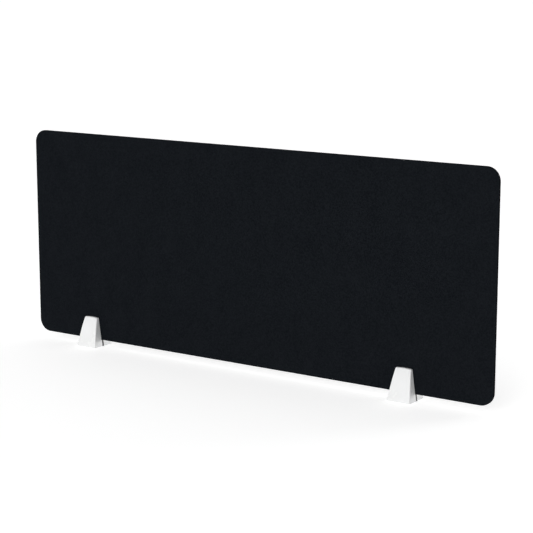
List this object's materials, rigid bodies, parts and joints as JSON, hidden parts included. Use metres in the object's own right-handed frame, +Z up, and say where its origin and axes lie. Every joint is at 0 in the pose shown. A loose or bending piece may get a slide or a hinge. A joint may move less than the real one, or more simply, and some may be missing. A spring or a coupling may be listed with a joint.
{
  "type": "desk privacy panel",
  "caption": "Free-standing felt desk divider: a thin board with rounded corners, held on edge in wedge-shaped feet that clamp it with screws and slide along it.",
  "frame": {"origin": "on the desk surface, under the middle of the board's length and thickness", "axes": "+X along the board, to the right seen from the front; +Y to the rear, where the screw heads are; +Z up"},
  "size_m": [1.524, 0.0764, 0.63],
  "materials": {
    "felt": "matte",
    "white_plastic": "satin",
    "dark_plastic": "matte",
    "grip_rubber": "matte",
    "base_rubber": "matte",
    "steel": "satin",
    "brass": "satin"
  },
  "bodies": {
    "board": {"felt_board": "felt"},
    "left_foot": {"left_rear_jaw": "white_plastic", "left_spine": "dark_plastic", "left_rear_grip_pad": "grip_rubber", "left_rear_base_pad": "base_rubber", "left_washers": "steel"},
    "left_front_jaw": {"left_front_jaw": "white_plastic", "left_front_grip_pad": "grip_rubber", "left_front_base_pad": "base_rubber", "left_threaded_inserts": "brass"},
    "left_screw_outer": {"left_clamp_screw_outer": "steel"},
    "left_screw_inner": {"left_clamp_screw_inner": "steel"},
    "right_foot": {"right_rear_jaw": "white_plastic", "right_spine": "dark_plastic", "right_rear_grip_pad": "grip_rubber", "right_rear_base_pad": "base_rubber", "right_washers": "steel"},
    "right_front_jaw": {"right_front_jaw": "white_plastic", "right_front_grip_pad": "grip_rubber", "right_front_base_pad": "base_rubber", "right_threaded_inserts": "brass"},
    "right_screw_outer": {"right_clamp_screw_outer": "steel"},
    "right_screw_inner": {"right_clamp_screw_inner": "steel"}
  },
  "joints": [
    {"name": "left_foot_slide", "type": "slide", "parent": "board", "child": "left_foot", "axis": [1, 0, 0], "range_m": [-0.134, 0.454]},
    {"name": "left_jaw_opening", "type": "slide", "parent": "left_foot", "child": "left_front_jaw", "axis": [0, -1, 0], "range_m": [0, 0.0032]},
    {"name": "left_screw_outer_turn", "type": "hinge", "parent": "left_foot", "child": "left_screw_outer", "pos_m": [-0.572, 0, 0.011], "axis": [0, 1, 0], "range_deg": [0, 1440]},
    {"name": "left_screw_inner_turn", "type": "hinge", "parent": "left_foot", "child": "left_screw_inner", "pos_m": [-0.536, 0, 0.011], "axis": [0, 1, 0], "range_deg": [0, 1440]},
    {"name": "right_foot_slide", "type": "slide", "parent": "board", "child": "right_foot", "axis": [1, 0, 0], "range_m": [-0.4055, 0.1825]},
    {"name": "right_jaw_opening", "type": "slide", "parent": "right_foot", "child": "right_front_jaw", "axis": [0, -1, 0], "range_m": [0, 0.0032]},
    {"name": "right_screw_outer_turn", "type": "hinge", "parent": "right_foot", "child": "right_screw_outer", "pos_m": [0.5235, 0, 0.011], "axis": [0, 1, 0], "range_deg": [0, 1440]},
    {"name": "right_screw_inner_turn", "type": "hinge", "parent": "right_foot", "child": "right_screw_inner", "pos_m": [0.4875, 0, 0.011], "axis": [0, 1, 0], "range_deg": [0, 1440]}
  ],
  "couplings": [
    {"joint": "left_screw_outer_turn", "follows": "left_jaw_opening", "rad_per_m": 7854},
    {"joint": "left_screw_inner_turn", "follows": "left_jaw_opening", "rad_per_m": 7854},
    {"joint": "right_screw_outer_turn", "follows": "right_jaw_opening", "rad_per_m": 7854},
    {"joint": "right_screw_inner_turn", "follows": "right_jaw_opening", "rad_per_m": 7854}
  ]
}
